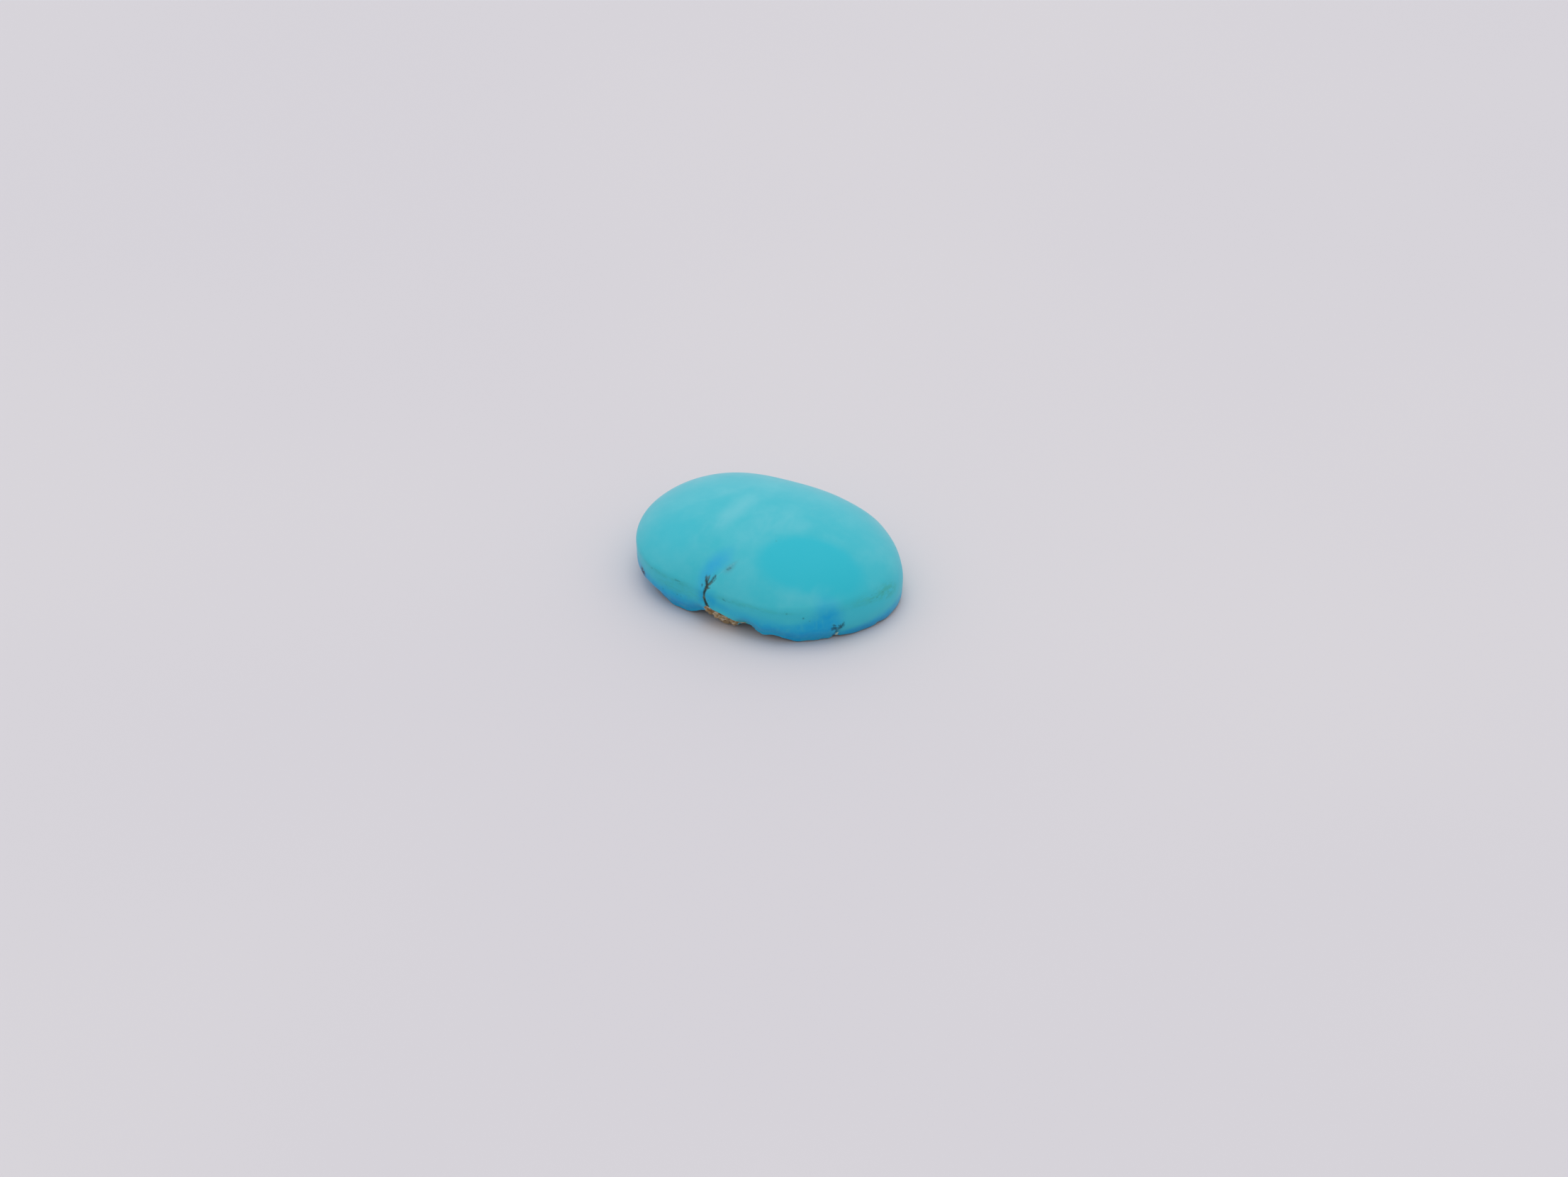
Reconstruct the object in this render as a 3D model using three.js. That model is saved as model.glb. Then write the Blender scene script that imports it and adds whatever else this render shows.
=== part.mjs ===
// A turquoise cabochon: one oval stone with a low polished dome, a crisp crease all
// round the girdle, a ground side band that bevels inwards near the bottom, and a
// chipped lower edge over a flat lapped back. A pocket of tan matrix breaks out at the
// lower front edge, and a small notch sits further along the same edge.
//
// Units are millimetres and +Z is up. +X runs along the length of the oval, and the
// stone rests on its back at z = 0. Angles are in degrees, turning from +X towards +Y,
// so 270 is the front side of the stone.

import * as THREE from 'three';

// Driving dimensions.
const LENGTH = 16.0;
const WIDTH = 11.6;
const GIRDLE_HEIGHT = 2.45;
const DOME_RISE = 2.75;

// Plan outline: an ellipse with fuller shoulders, waved a little out of round. A wave
// has its number of turns, the angle of one of its crests and its height.
const SHOULDER = 0.2;
const OUTLINE_WAVES = [
  { turns: 4, at: 43, out: SHOULDER },
  { turns: 5, at: 5, out: 0.1 },
  { turns: 2, at: -45, out: 0.05 },
  { turns: 3, at: -35, out: 0.03 },
];

// A local change has the angle of its middle, its half width and how far it goes out.
const OUTLINE_SWELLS = [
  { at: 48, half: 10, out: 0.08 },
  { at: 262, half: 9, out: 0.18 },
];

// The dome is an ellipse cut off at this share of its half width, which leaves it steep
// at the crease and nearly flat at the crown. The outline's unevenness fades out towards
// the crown by this power.
const DOME_CUT = 0.93;
const EVENING_POWER = 1;

// Side band: how far it stands proud of the crease, and how far the bevel below takes
// it back in. It leans out at the right end and tucks in at the left end.
const BAND_BULGE = 0.05;
const BULGE_CHANGES = [
  { at: 200, half: 35, out: -0.1 },
  { at: 12, half: 30, out: 0.22 },
];
const BEVEL_START = 0.45;
const BEVEL_SHARPNESS = 1.5;
const BEVEL_IN = 0.4;
const BEVEL_CHANGES = [
  { at: 208, half: 26, out: 0.4 },
  { at: 12, half: 20, out: -0.55 },
];

// Lower edge: its height above the floor, with chips and lifts along it, and a fine
// waver from the grinding.
const EDGE_HEIGHT = 0.08;
const EDGE_LOWEST = 0.02;
const EDGE_CHIPS = [
  { at: 32, half: 6, out: 0.18 },
  { at: 76, half: 9, out: 0.25 },
  { at: 121, half: 5, out: 0.34 },
  { at: 163, half: 10, out: 0.2 },
  { at: 222, half: 8, out: 0.1 },
  { at: 255, half: 6, out: 0.46 },
  { at: 262, half: 5, out: 0.2 },
  { at: 286.5, half: 6.5, out: 0.7 },
  { at: 300.5, half: 7.5, out: 0.34 },
  { at: 331.6, half: 1.6, out: 0.12 },
  { at: 355, half: 10, out: 0.12 },
];
const EDGE_WAVES = [
  { turns: 13, at: 4, out: 0.025 },
  { turns: 23, at: 7, out: 0.025 },
  { turns: 41, at: 2, out: 0.02 },
];

// Back: the flat foot is set in from the lower edge, further under the broken hollows.
const FOOT_INSET = 0.9;
const FOOT_CHANGES = [
  { at: 121, half: 9, out: 0.4 },
  { at: 205, half: 20, out: 0.3 },
  { at: 286, half: 9, out: 0.9 },
];

// Pocket of matrix in the lower front of the band: its sloping upper rim, and how far
// it is sunk under that rim. Knobs are rounded lumps of matrix in it.
const POCKET = {
  from: 259.5,
  to: 283,
  rimHeightAtFrom: 1.5,
  rimHeightAtTo: 0.85,
  sunk: 0.2,
  cornerAngle: 2.5,
  cornerHeight: 0.12,
};
const POCKET_KNOBS = [
  { at: 262.5, height: 1.15, halfAngle: 2.2, halfHeight: 0.22, out: 0.2 },
  { at: 266.5, height: 0.75, halfAngle: 2.4, halfHeight: 0.24, out: 0.24 },
  { at: 270.5, height: 0.45, halfAngle: 2.3, halfHeight: 0.2, out: 0.2 },
  { at: 274.5, height: 0.75, halfAngle: 2.2, halfHeight: 0.2, out: 0.18 },
  { at: 278, height: 0.45, halfAngle: 2.2, halfHeight: 0.2, out: 0.22 },
];

// Notch in the lower edge at the front right, with a dent running up the band from it.
const NOTCH = { at: 331.6, halfAngle: 1.6, height: 0.2, halfHeight: 0.35, out: -0.14 };

// Mesh divisions.
const SEGMENTS = 144;
const DOME_RINGS = 13;
const BAND_RINGS = 9;

const TURQUOISE = 0x3fb6c4;

const { degToRad, lerp, smoothstep } = THREE.MathUtils;

// The shorter way round from one angle to another, in degrees, never negative.
function angleBetween(a, b) {
  return Math.abs(((a - b + 540) % 360) - 180);
}

function sumOfBumps(angle, changes) {
  return changes.reduce(
    (total, { at, half, out }) => total + out * Math.exp(-((angleBetween(angle, at) / half) ** 2)),
    0,
  );
}

function sumOfWaves(angle, waves) {
  return waves.reduce(
    (total, { turns, at, out }) => total + out * Math.cos(degToRad(turns * (angle - at))),
    0,
  );
}

// A rounded lump, or a dent, on the side band.
function knob(angle, height, { at, height: middle, halfAngle, halfHeight, out }) {
  const across = angleBetween(angle, at) / halfAngle;
  const up = (height - middle) / halfHeight;
  return out * Math.exp(-(across ** 2) - up ** 2);
}

// Radius of the plain ellipse that the outline is waved about.
function ellipseRadius(angle) {
  const along = Math.cos(degToRad(angle)) / (LENGTH / 2 + SHOULDER);
  const across = Math.sin(degToRad(angle)) / (WIDTH / 2 + SHOULDER);
  return 1 / Math.hypot(along, across);
}

function outlineUnevenness(angle) {
  return sumOfWaves(angle, OUTLINE_WAVES) + sumOfBumps(angle, OUTLINE_SWELLS);
}

// Radius of the crease in plan.
function girdleRadius(angle) {
  return ellipseRadius(angle) + outlineUnevenness(angle);
}

// Height of the dome above the crease, from 1 at the crown to 0 at the crease.
function domeCurve(share) {
  const cut = Math.sqrt(1 - DOME_CUT ** 2);
  return (Math.sqrt(1 - (DOME_CUT * share) ** 2) - cut) / (1 - cut);
}

function edgeHeight(angle) {
  const height = EDGE_HEIGHT + sumOfBumps(angle, EDGE_CHIPS) + sumOfWaves(angle, EDGE_WAVES);
  return Math.max(height, EDGE_LOWEST);
}

// How far the surface is moved out or in by the pocket and the notch.
function brokenRelief(angle, height) {
  const { from, to, cornerAngle, cornerHeight } = POCKET;
  const along = (angle - from) / (to - from);
  const rim = lerp(POCKET.rimHeightAtFrom, POCKET.rimHeightAtTo, along);
  const inside =
    smoothstep(angle, from, from + cornerAngle) *
    (1 - smoothstep(angle, to - cornerAngle, to)) *
    (1 - smoothstep(height, rim - cornerHeight, rim));
  const lumps = POCKET_KNOBS.reduce((total, item) => total + knob(angle, height, item), 0);
  return inside * (lumps - POCKET.sunk) + knob(angle, height, NOTCH);
}

// On the dome, from 0 at the crown to 1 at the crease.
function domePoint(angle, share) {
  const uneven = outlineUnevenness(angle) * share ** EVENING_POWER;
  return {
    radius: (ellipseRadius(angle) + uneven) * share,
    height: GIRDLE_HEIGHT + DOME_RISE * domeCurve(share),
  };
}

// Down the side band, from 0 at the crease to 1 at the lower edge.
function bandPoint(angle, share) {
  const height = lerp(GIRDLE_HEIGHT, edgeHeight(angle), share);
  const bulge = (BAND_BULGE + sumOfBumps(angle, BULGE_CHANGES)) * Math.sin(Math.PI * share);
  const bevel =
    (BEVEL_IN + sumOfBumps(angle, BEVEL_CHANGES)) *
    smoothstep(share, BEVEL_START, 1) ** BEVEL_SHARPNESS;
  return { radius: girdleRadius(angle) + bulge - bevel + brokenRelief(angle, height), height };
}

function footPoint(angle) {
  const inset = FOOT_INSET + sumOfBumps(angle, FOOT_CHANGES);
  return { radius: bandPoint(angle, 1).radius - inset, height: 0 };
}

// The rings of the stone, from near the crown down and in under the back.
function stoneRings() {
  const rings = [];
  for (let i = 2; i <= DOME_RINGS + 1; i += 1) {
    const share = Math.sin((i / (DOME_RINGS + 1)) * (Math.PI / 2));
    rings.push((angle) => domePoint(angle, share));
  }
  for (let i = 1; i <= BAND_RINGS; i += 1) {
    rings.push((angle) => bandPoint(angle, i / BAND_RINGS));
  }
  rings.push(footPoint);
  return rings;
}

function stonePositions(rings) {
  const positions = [0, 0, GIRDLE_HEIGHT + DOME_RISE];
  for (const ring of rings) {
    for (let segment = 0; segment < SEGMENTS; segment += 1) {
      const angle = (360 * segment) / SEGMENTS;
      const { radius, height } = ring(angle);
      positions.push(radius * Math.cos(degToRad(angle)), radius * Math.sin(degToRad(angle)), height);
    }
  }
  positions.push(0, 0, 0);
  return positions;
}

// A fan at the crown, a strip of quads between rings, and a flat fan on the back.
function stoneFaces(ringCount) {
  const crown = 0;
  const back = 1 + ringCount * SEGMENTS;
  const vertex = (ring, segment) => 1 + ring * SEGMENTS + (segment % SEGMENTS);
  const faces = [];
  for (let segment = 0; segment < SEGMENTS; segment += 1) {
    faces.push(crown, vertex(0, segment), vertex(0, segment + 1));
    for (let ring = 0; ring < ringCount - 1; ring += 1) {
      const upper = vertex(ring, segment);
      const upperNext = vertex(ring, segment + 1);
      const lower = vertex(ring + 1, segment);
      const lowerNext = vertex(ring + 1, segment + 1);
      faces.push(upper, lower, lowerNext);
      faces.push(upper, lowerNext, upperNext);
    }
    faces.push(back, vertex(ringCount - 1, segment + 1), vertex(ringCount - 1, segment));
  }
  return faces;
}

function stoneGeometry() {
  const rings = stoneRings();
  const geometry = new THREE.BufferGeometry();
  geometry.setAttribute('position', new THREE.Float32BufferAttribute(stonePositions(rings), 3));
  geometry.setIndex(stoneFaces(rings.length));
  geometry.computeBoundingBox();
  const middle = geometry.boundingBox.getCenter(new THREE.Vector3());
  geometry.translate(-middle.x, -middle.y, 0);
  geometry.computeVertexNormals();
  return geometry;
}

const stone = new THREE.Mesh(
  stoneGeometry(),
  new THREE.MeshStandardMaterial({ color: TURQUOISE, roughness: 0.35, metalness: 0 }),
);
stone.name = 'turquoise_stone';

const cabochon = new THREE.Group();
cabochon.add(stone);

export default cabochon;
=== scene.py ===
"""A polished turquoise cabochon on a pale studio floor.

The stone is turned as a round blank, drawn out into its uneven oval, then carved and
chipped. Sizes inside the stone's classes are millimetres and degrees. Angles turn from
+X towards +Y, so 270 is the stone's front. Meshes are written in metres.
"""

import logging
import math
from dataclasses import dataclass, field
from enum import Enum

import bpy
import numpy as np
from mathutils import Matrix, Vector


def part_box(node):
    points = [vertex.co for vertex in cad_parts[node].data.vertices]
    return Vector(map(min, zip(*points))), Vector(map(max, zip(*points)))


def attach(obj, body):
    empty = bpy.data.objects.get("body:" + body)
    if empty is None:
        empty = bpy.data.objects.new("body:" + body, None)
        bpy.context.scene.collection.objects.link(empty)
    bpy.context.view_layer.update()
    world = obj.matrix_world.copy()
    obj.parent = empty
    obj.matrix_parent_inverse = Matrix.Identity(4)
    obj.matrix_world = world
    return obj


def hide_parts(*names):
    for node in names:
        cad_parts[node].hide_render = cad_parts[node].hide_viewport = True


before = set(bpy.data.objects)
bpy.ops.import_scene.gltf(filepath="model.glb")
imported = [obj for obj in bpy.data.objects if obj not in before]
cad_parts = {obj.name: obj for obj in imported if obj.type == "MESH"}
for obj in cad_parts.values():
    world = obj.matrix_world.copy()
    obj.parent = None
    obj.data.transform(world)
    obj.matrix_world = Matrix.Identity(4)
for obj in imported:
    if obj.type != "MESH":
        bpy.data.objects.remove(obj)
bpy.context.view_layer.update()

MM = 0.001
FULL_TURN = 360.0
HALF_TURN = 180.0
FAR_MM = 99.0
NEARLY_NOTHING = 1e-9
STONE_NODE = "turquoise_stone"
BODY = "root"

Triple = tuple[float, float, float]
Colour = tuple[float, float, float, float]
Socket = bpy.types.NodeSocket
Feed = Socket | float | Triple | Colour

log = logging.getLogger("cabochon")


def turn_between(first: np.ndarray, second: float) -> np.ndarray:
    """Give the shorter way round from the second angle to the first, with its sign."""
    return (first - second + HALF_TURN + FULL_TURN) % FULL_TURN - HALF_TURN


@dataclass(frozen=True)
class Bump:
    """A local change round the outline: its middle, half width and how far it goes."""

    at: float
    half: float
    out: float

    def lift(self, angle: np.ndarray) -> np.ndarray:
        """Give the change at each angle, in millimetres."""
        return self.out * np.exp(-((turn_between(angle, self.at) / self.half) ** 2))


@dataclass(frozen=True)
class Wave:
    """A wave round the outline: how many, the angle of a crest and its height."""

    turns: int
    at: float
    out: float

    def lift(self, angle: np.ndarray) -> np.ndarray:
        """Give the wave at each angle, in millimetres."""
        return self.out * np.cos(np.radians(self.turns * (angle - self.at)))


@dataclass(frozen=True)
class Knob:
    """A rounded lump on the side band, or a dent where it goes out less than nothing."""

    at: float
    height: float
    half_angle: float
    half_height: float
    out: float

    def lift(self, angle: np.ndarray, height: np.ndarray) -> np.ndarray:
        """Give how far the knob moves the band, in millimetres."""
        across = turn_between(angle, self.at) / self.half_angle
        return self.out * np.exp(-(across**2) - ((height - self.height) / self.half_height) ** 2)


class Zone(Enum):
    """The stretches of the stone's section, from the crown to the middle of the back."""

    DOME = "dome"
    CREASE = "crease"
    BAND = "band"
    LIP = "lip"
    UNDERSIDE = "underside"
    BACK = "back"


class Mark(Enum):
    """The markings that the finish reads from the mesh, by attribute name."""

    BAND = "band_share"
    UNDER = "under_share"
    MATRIX = "matrix_mm"
    CREAM = "cream_mm"
    GRAIN = "grain_mm"
    VEIN = "vein_mm"
    TUFT = "tuft_mm"
    SPECK = "speck_mm"
    FAINT = "faint_mm"
    PALE = "pale"
    DEEP = "deep"
    BLUE = "blue"
    VIOLET = "violet"
    GREEN = "green"
    STAIN = "stain"
    SMOKE = "smoke"


def smooth_step(value: np.ndarray, low: float, high: float) -> np.ndarray:
    """Ease a value from 0 at low to 1 at high.

    Args:
        value: The values to ease.
        low: Where the rise starts.
        high: Where it ends.

    Returns:
        Shares from 0 to 1, of the value's shape.
    """
    share = np.clip((value - low) / (high - low), 0.0, 1.0)
    return share * share * (3.0 - 2.0 * share)


def total_lift(changes: tuple[Bump | Wave, ...], angle: np.ndarray) -> np.ndarray:
    """Add up changes at each angle, in millimetres."""
    return sum((change.lift(angle) for change in changes), np.zeros_like(angle))


@dataclass(frozen=True)
class Lumps:
    """Smooth seeded lumps that fill space, for relief too irregular for a formula."""

    seed: int
    spacing: float
    cells: int = 32

    def at(self, points: np.ndarray) -> np.ndarray:
        """Give the lumps' height at some places.

        Args:
            points: Places in millimetres, one row each.

        Returns:
            Values from about -1 to 1, one for each place.
        """
        table = np.random.default_rng(self.seed).uniform(-1.0, 1.0, (self.cells,) * 3)
        scaled = points / self.spacing
        base = np.floor(scaled).astype(int)
        part = scaled - base
        ease = smooth_step(part, 0.0, 1.0)
        total = np.zeros(len(points))
        for corner in np.ndindex(2, 2, 2):
            cell = (base + corner) % self.cells
            share = np.prod(np.where(corner, ease, 1.0 - ease), axis=1)
            total += share * table[cell[:, 0], cell[:, 1], cell[:, 2]]
        return total


@dataclass(frozen=True)
class StoneForm:
    """The stone's shape: a low dome, a crease, a ground band, a chipped lower edge, a back.

    The dome is an ellipse that is cut off at dome_cut of its half width. A field that ends
    in share is a part of the stretch that it is on.
    """

    length: float = 16.0
    width: float = 11.6
    girdle_height: float = 2.45
    dome_rise: float = 2.75
    shoulder: float = 0.2
    outline_waves: tuple[Wave, ...] = (
        Wave(4, 43, 0.2),
        Wave(5, 5, 0.1),
        Wave(2, -45, 0.05),
        Wave(3, -35, 0.03),
    )
    outline_swells: tuple[Bump, ...] = (Bump(48, 10, 0.08), Bump(262, 9, 0.18))
    dome_cut: float = 0.93
    band_bulge: float = 0.05
    bulge_changes: tuple[Bump, ...] = (Bump(200, 35, -0.1), Bump(12, 30, 0.22))
    bevel_start: float = 0.45
    bevel_sharpness: float = 1.5
    bevel_in: float = 0.4
    bevel_changes: tuple[Bump, ...] = (
        Bump(208, 26, 0.4),
        Bump(12, 20, -0.55),
        Bump(337, 6, -0.12),
        Bump(351, 11, -0.16),
    )
    edge_height: float = 0.08
    edge_lowest: float = 0.02
    edge_chips: tuple[Bump, ...] = (
        Bump(32, 6, 0.18),
        Bump(76, 9, 0.25),
        Bump(121, 5, 0.34),
        Bump(163, 10, 0.2),
        Bump(222, 8, 0.1),
        Bump(255, 6, 0.46),
        Bump(262, 5, 0.2),
        Bump(286.5, 6.5, 0.7),
        Bump(300.5, 7.5, 0.34),
        Bump(331.6, 1.6, 0.12),
        Bump(355, 10, 0.04),
    )
    edge_waves: tuple[Wave, ...] = (Wave(13, 4, 0.025), Wave(23, 7, 0.025), Wave(41, 2, 0.02))
    foot_inset: float = 0.9
    foot_changes: tuple[Bump, ...] = (Bump(121, 9, 0.4), Bump(205, 20, 0.3), Bump(286, 9, 0.9))
    pocket_from: float = 259.5
    pocket_to: float = 283.0
    rim_height_from: float = 1.5
    rim_height_to: float = 0.85
    pocket_sunk: float = 0.2
    corner_angle: float = 2.5
    corner_height: float = 0.12
    knobs: tuple[Knob, ...] = (
        Knob(262.5, 1.15, 2.2, 0.22, 0.2),
        Knob(266.5, 0.75, 2.4, 0.24, 0.24),
        Knob(270.5, 0.45, 2.3, 0.2, 0.2),
        Knob(274.5, 0.75, 2.2, 0.2, 0.18),
        Knob(278, 0.45, 2.2, 0.2, 0.22),
    )
    notch: Knob = Knob(331.6, 0.2, 1.6, 0.35, -0.14)
    crease_dome_share: float = 0.018
    crease_band_share: float = 0.09
    crease_softening: Bump = Bump(350, 40, 0.8)
    lip_band_share: float = 0.02
    lip_under_share: float = 0.05
    search_steps: int = 6

    def ellipse_radius(self, angle: np.ndarray) -> np.ndarray:
        """Give the radius of the plain ellipse that the outline is waved about."""
        along = np.cos(np.radians(angle)) / (self.length / 2 + self.shoulder)
        across = np.sin(np.radians(angle)) / (self.width / 2 + self.shoulder)
        return 1.0 / np.hypot(along, across)

    def unevenness(self, angle: np.ndarray) -> np.ndarray:
        """Give how far the outline stands out from the plain ellipse."""
        return total_lift(self.outline_waves, angle) + total_lift(self.outline_swells, angle)

    def lower_edge(self, angle: np.ndarray) -> np.ndarray:
        """Give the lower edge's height above the floor."""
        height = self.edge_height + total_lift(self.edge_chips, angle)
        return np.maximum(height + total_lift(self.edge_waves, angle), self.edge_lowest)

    def pocket_depth(self, angle: np.ndarray, height: np.ndarray) -> np.ndarray:
        """Give how far a place on the band is inside the pocket.

        Args:
            angle: Angles on the band.
            height: Heights on the band.

        Returns:
            Shares from 0 outside to 1 well inside.
        """
        along = (angle - self.pocket_from) / (self.pocket_to - self.pocket_from)
        rim = self.rim_height_from + (self.rim_height_to - self.rim_height_from) * along
        entering = smooth_step(angle, self.pocket_from, self.pocket_from + self.corner_angle)
        leaving = smooth_step(angle, self.pocket_to - self.corner_angle, self.pocket_to)
        below = 1.0 - smooth_step(height - rim, -self.corner_height, 0.0)
        return entering * (1.0 - leaving) * below

    def broken_relief(self, angle: np.ndarray, height: np.ndarray) -> np.ndarray:
        """Give how far the pocket and the notch move the band.

        Args:
            angle: Angles on the band.
            height: Heights on the band.

        Returns:
            Millimetres outwards.
        """
        lumps = sum(knob.lift(angle, height) for knob in self.knobs)
        inside = self.pocket_depth(angle, height)
        return inside * (lumps - self.pocket_sunk) + self.notch.lift(angle, height)

    def dome(self, angle: np.ndarray, share: np.ndarray) -> np.ndarray:
        """Give a place on the dome, from 0 at the crown to 1 at the crease.

        Args:
            angle: Angles in degrees.
            share: Shares of the way out.

        Returns:
            Radius and height, one column for each place.
        """
        cut = math.sqrt(1.0 - self.dome_cut**2)
        curve = (np.sqrt(1.0 - (self.dome_cut * share) ** 2) - cut) / (1.0 - cut)
        radius = (self.ellipse_radius(angle) + self.unevenness(angle) * share) * share
        return np.stack([radius, self.girdle_height + self.dome_rise * curve])

    def band(self, angle: np.ndarray, share: np.ndarray) -> np.ndarray:
        """Give a place down the side band, from 0 at the crease to 1 at the lower edge.

        Args:
            angle: Angles in degrees.
            share: Shares of the way down.

        Returns:
            Radius and height, one column for each place.
        """
        height = self.girdle_height + (self.lower_edge(angle) - self.girdle_height) * share
        girdle = self.ellipse_radius(angle) + self.unevenness(angle)
        bulge = (self.band_bulge + total_lift(self.bulge_changes, angle)) * np.sin(np.pi * share)
        bevel = smooth_step(share, self.bevel_start, 1.0) ** self.bevel_sharpness
        bevel = bevel * (self.bevel_in + total_lift(self.bevel_changes, angle))
        return np.stack([girdle + bulge - bevel + self.broken_relief(angle, height), height])

    def underside(self, angle: np.ndarray, share: np.ndarray) -> np.ndarray:
        """Give a place on the way from the lower edge, at 0, to the foot, at 1.

        Args:
            angle: Angles in degrees.
            share: Shares of the way in.

        Returns:
            Radius and height, one column for each place.
        """
        edge = self.band(angle, np.ones_like(angle))
        inset = self.foot_inset + total_lift(self.foot_changes, angle)
        return np.stack([edge[0] - inset * share, edge[1] * (1.0 - share)])

    def back(self, angle: np.ndarray, share: np.ndarray) -> np.ndarray:
        """Give a place on the flat back, from 0 at the foot to 1 in its middle."""
        return self.underside(angle, np.ones_like(angle)) * (1.0 - share)

    @staticmethod
    def rounded(
        before: np.ndarray, corner: np.ndarray, after: np.ndarray, share: np.ndarray
    ) -> np.ndarray:
        """Round a sharp corner, from the place before it to the place after it."""
        left = 1.0 - share
        return left * left * before + 2.0 * left * share * corner + share * share * after

    def place(self, zone: Zone, angle: np.ndarray, share: np.ndarray) -> np.ndarray:
        """Give a place on any stretch of the stone.

        Args:
            zone: The stretch.
            angle: Angles in degrees.
            share: Shares of the way along the stretch.

        Returns:
            Radius and height, one column for each place.
        """
        whole = np.ones_like(angle)
        soft = 1.0 + self.crease_softening.lift(angle)
        dome_end = whole - self.crease_dome_share * soft
        band_start = self.crease_band_share * soft
        band_end = 1.0 - self.lip_band_share
        if zone is Zone.DOME:
            return self.dome(angle, dome_end * share)
        if zone is Zone.CREASE:
            start, end = self.dome(angle, dome_end), self.band(angle, band_start)
            return self.rounded(start, self.dome(angle, whole), end, share)
        if zone is Zone.BAND:
            return self.band(angle, band_start + (band_end - band_start) * share)
        if zone is Zone.LIP:
            start = self.band(angle, whole * band_end)
            end = self.underside(angle, whole * self.lip_under_share)
            return self.rounded(start, self.band(angle, whole), end, share)
        if zone is Zone.UNDERSIDE:
            inwards = self.lip_under_share + (1.0 - self.lip_under_share) * share
            return self.underside(angle, inwards)
        return self.back(angle, share)

    def on_band(self, angle: float, height: float) -> np.ndarray:
        """Find the point of the band at an angle and a height.

        Args:
            angle: The angle.
            height: The height above the floor.

        Returns:
            X, Y and Z before the stone is centred.
        """
        turn = np.array([float(angle)])
        edge = self.lower_edge(turn)
        share = np.clip((self.girdle_height - height) / (self.girdle_height - edge), 0.0, 1.0)
        radius, found = self.band(turn, share)[:, 0]
        return np.array([*self.turned(radius, angle), found])

    def on_dome(self, x: float, y: float) -> np.ndarray:
        """Find the point of the dome over a place in plan.

        Args:
            x: Place along the stone, before it is centred.
            y: Place across it.

        Returns:
            X, Y and Z before the stone is centred.
        """
        angle = math.degrees(math.atan2(y, x)) % FULL_TURN
        turn = np.array([angle])
        radius = math.hypot(x, y)
        share = radius / self.ellipse_radius(turn)
        for _ in range(self.search_steps):
            share = radius / (self.ellipse_radius(turn) + self.unevenness(turn) * share)
        share = np.minimum(share, 1.0)
        found_radius, height = self.dome(turn, share)[:, 0]
        return np.array([*self.turned(found_radius, angle), height])

    @staticmethod
    def turned(radius: float, angle: float) -> tuple[float, float]:
        """Give X and Y of a radius at an angle in degrees."""
        return radius * math.cos(math.radians(angle)), radius * math.sin(math.radians(angle))


@dataclass(frozen=True)
class Stroke:
    """A drawn line on the stone: places, each with the line's half width there."""

    places: tuple[Triple, ...]
    on_dome: bool = False

    def distance(self, form: StoneForm, points: np.ndarray) -> np.ndarray:
        """Measure how far places are outside the line.

        Args:
            form: The stone's shape, which gives the line its points in space.
            points: Places in millimetres, before the stone is centred.

        Returns:
            Millimetres from the line's border, less than 0 inside it.
        """
        find = form.on_dome if self.on_dome else form.on_band
        joints = [(find(first, second), half) for first, second, half in self.places]
        best = np.full(len(points), FAR_MM)
        for (start, start_half), (end, end_half) in zip(joints, joints[1:] or joints):
            line = end - start
            squared = max(float(line @ line), NEARLY_NOTHING)
            share = np.clip((points - start) @ line / squared, 0.0, 1.0)
            gap = np.linalg.norm(points - start - share[:, None] * line, axis=1)
            best = np.minimum(best, gap - (start_half + (end_half - start_half) * share))
        return best


@dataclass(frozen=True)
class Patch:
    """A soft-edged patch of colour, oval in plan or on the band.

    On the dome its middle is X and Y. On the band it is an angle and a height.
    """

    first: float
    second: float
    half_long: float
    half_short: float
    turn: float = 0.0
    strength: float = 1.0
    on_dome: bool = False
    edge: float = 0.8

    def strength_at(self, points: np.ndarray, angle: np.ndarray) -> np.ndarray:
        """Give the patch's strength at some places.

        Args:
            points: Places in millimetres, before the stone is centred.
            angle: Their angles.

        Returns:
            Strengths from 0 up to the patch's own.
        """
        if self.on_dome:
            along = points[:, 0] - self.first
            across = points[:, 1] - self.second
        else:
            radius = np.hypot(points[:, 0], points[:, 1])
            along = np.radians(turn_between(angle, self.first)) * radius
            across = points[:, 2] - self.second
        cosine, sine = math.cos(math.radians(self.turn)), math.sin(math.radians(self.turn))
        long_way = (along * cosine + across * sine) / self.half_long
        short_way = (across * cosine - along * sine) / self.half_short
        far = np.sqrt(long_way**2 + short_way**2)
        return self.strength * (1.0 - smooth_step(far, 1.0 - self.edge, 1.0 + self.edge))


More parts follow.
